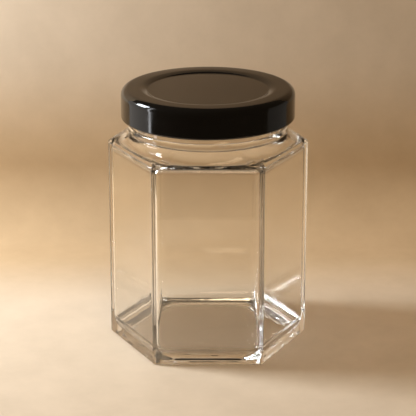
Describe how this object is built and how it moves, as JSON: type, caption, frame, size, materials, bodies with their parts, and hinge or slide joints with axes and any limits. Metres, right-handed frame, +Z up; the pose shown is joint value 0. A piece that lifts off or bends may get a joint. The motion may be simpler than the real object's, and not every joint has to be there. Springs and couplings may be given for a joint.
{
  "type": "hexagonal glass jar",
  "caption": "Empty clear glass preserving jar with a hexagonal body, round threaded neck and a round black twist-off lid, standing shut.",
  "frame": {"origin": "middle of the base, on the surface that the jar stands on", "axes": "+Z up along the jar's axis; -Y is the front, where one of the two wide faces looks; two corners of the hexagon lie on the X axis"},
  "size_m": [0.0766, 0.0666, 0.1],
  "materials": {
    "clear_glass": "clear, polished, with faint mould waviness",
    "black_lacquer": "gloss"
  },
  "bodies": {
    "root": {"jar": "clear_glass", "lid": "black_lacquer"}
  },
  "joints": []
}
